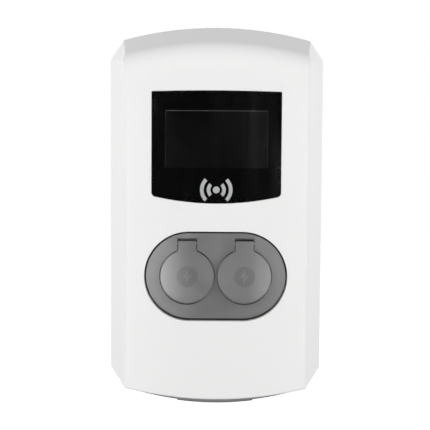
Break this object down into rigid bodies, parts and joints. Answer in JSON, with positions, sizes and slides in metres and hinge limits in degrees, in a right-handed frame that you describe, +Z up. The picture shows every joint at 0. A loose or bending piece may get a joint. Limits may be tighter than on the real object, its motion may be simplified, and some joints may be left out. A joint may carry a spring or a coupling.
{
  "type": "ev charging station head",
  "caption": "Wall-mounted charging station head: white faceted cover on a grey housing, black display window, and lidded sockets on a grey oval plate.",
  "frame": {"origin": "centre of the rectangle of four wall bolts, in the plane of the wall", "axes": "+Z up, +Y into the wall (the front faces -Y), +X to the right of someone facing the front"},
  "size_m": [0.3372, 0.2308, 0.6025],
  "materials": {
    "cover_white": "smooth gloss moulding",
    "clear_glass": "polished, slightly dusty",
    "print_black": "screen print behind glass",
    "symbol_light": "light diffuser film",
    "socket_grey": "fine spark-eroded texture",
    "housing_grey": "fine texture",
    "trim_dark": "fine texture",
    "seal_rubber": "soft matte",
    "display_cell": "switched-off liquid crystal panel",
    "zinc_steel": "zinc plated",
    "screw_steel": "zinc plated",
    "spring_steel": "bright",
    "frame_black": "glass-filled moulding",
    "board_green": "solder resist",
    "chip_black": "moulded resin",
    "device_grey": "fine texture",
    "meter_window": "clear window over a display",
    "terminal_beige": "moulded",
    "earth_brass": "machined",
    "contact_silver": "silver plated",
    "lever_blue": "moulded",
    "button_yellow": "moulded",
    "cable_black": "rubber sheath"
  },
  "bodies": {
    "root": {"socket_plate": "socket_grey", "rear_housing": "housing_grey", "chin_cap": "trim_dark", "rim_seal": "seal_rubber", "oval_gasket": "seal_rubber", "gland_seals": "seal_rubber", "wall_washers": "seal_rubber", "chassis_plate": "zinc_steel", "socket_bracket": "zinc_steel", "din_rails": "zinc_steel", "cover_screws": "screw_steel", "entry_screws": "screw_steel", "chassis_screws": "screw_steel", "socket_screws": "screw_steel", "controller_standoffs": "screw_steel", "hinge_pins": "spring_steel", "lid_springs": "spring_steel", "socket_left": "frame_black", "socket_right": "frame_black", "contact_carriers": "frame_black", "socket_caps": "frame_black", "lock_actuators": "frame_black", "entry_plate": "frame_black", "gland_bodies": "frame_black", "gland_nuts": "frame_black", "spare_plug": "frame_black", "controller_board": "board_green", "controller_parts": "chip_black", "router_module": "chip_black", "breaker_cases": "device_grey", "contactors": "device_grey", "energy_meters": "device_grey", "power_supply": "device_grey", "meter_windows": "meter_window", "supply_terminals": "terminal_beige", "earth_bar": "earth_brass", "socket_contacts": "contact_silver", "supply_cable": "cable_black", "socket_cables": "cable_black"},
    "cover": {"front_cover": "cover_white", "window_glass": "clear_glass", "window_mask": "print_black", "reader_symbol": "symbol_light", "display_bezel": "frame_black", "display_panel": "display_cell", "display_carrier": "frame_black", "display_board": "board_green", "display_board_parts": "chip_black", "reader_board": "board_green", "carrier_screws": "screw_steel"},
    "lid_left": {"lid_left": "socket_grey", "lid_left_seal": "seal_rubber"},
    "lid_right": {"lid_right": "socket_grey", "lid_right_seal": "seal_rubber"},
    "lock_pin_left": {"lock_left_pin": "spring_steel"},
    "lock_pin_right": {"lock_right_pin": "spring_steel"},
    "lever_left": {"breaker_left_lever": "lever_blue"},
    "lever_right": {"breaker_right_lever": "lever_blue"},
    "button_left": {"breaker_left_button": "button_yellow"},
    "button_right": {"breaker_right_button": "button_yellow"}
  },
  "joints": [
    {"name": "cover_pull", "type": "slide", "parent": "root", "child": "cover", "axis": [0, -1, 0], "range_m": [0, 0.3]},
    {"name": "lid_left_hinge", "type": "hinge", "parent": "root", "child": "lid_left", "pos_m": [-0.0433, -0.2245, -0.0435], "axis": [-1, 0, 0], "range_deg": [0, 100], "stiffness_Nm_per_rad": 0.03, "springref_deg": -68.75},
    {"name": "lid_right_hinge", "type": "hinge", "parent": "root", "child": "lid_right", "pos_m": [0.0433, -0.2245, -0.0435], "axis": [-1, 0, 0], "range_deg": [0, 100], "stiffness_Nm_per_rad": 0.03, "springref_deg": -68.75},
    {"name": "lock_left_slide", "type": "slide", "parent": "root", "child": "lock_pin_left", "axis": [0, 0, -1], "range_m": [0, 0.006]},
    {"name": "lock_right_slide", "type": "slide", "parent": "root", "child": "lock_pin_right", "axis": [0, 0, -1], "range_m": [0, 0.006]},
    {"name": "lever_left_hinge", "type": "hinge", "parent": "root", "child": "lever_left", "pos_m": [-0.087, -0.078, 0.09], "axis": [1, 0, 0], "range_deg": [0, 70]},
    {"name": "lever_right_hinge", "type": "hinge", "parent": "root", "child": "lever_right", "pos_m": [-0.013, -0.078, 0.09], "axis": [1, 0, 0], "range_deg": [0, 70]},
    {"name": "button_left_press", "type": "slide", "parent": "root", "child": "button_left", "axis": [0, 1, 0], "range_m": [0, 0.0015], "stiffness_N_per_m": 400, "springref_m": -0.002},
    {"name": "button_right_press", "type": "slide", "parent": "root", "child": "button_right", "axis": [0, 1, 0], "range_m": [0, 0.0015], "stiffness_N_per_m": 400, "springref_m": -0.002}
  ]
}
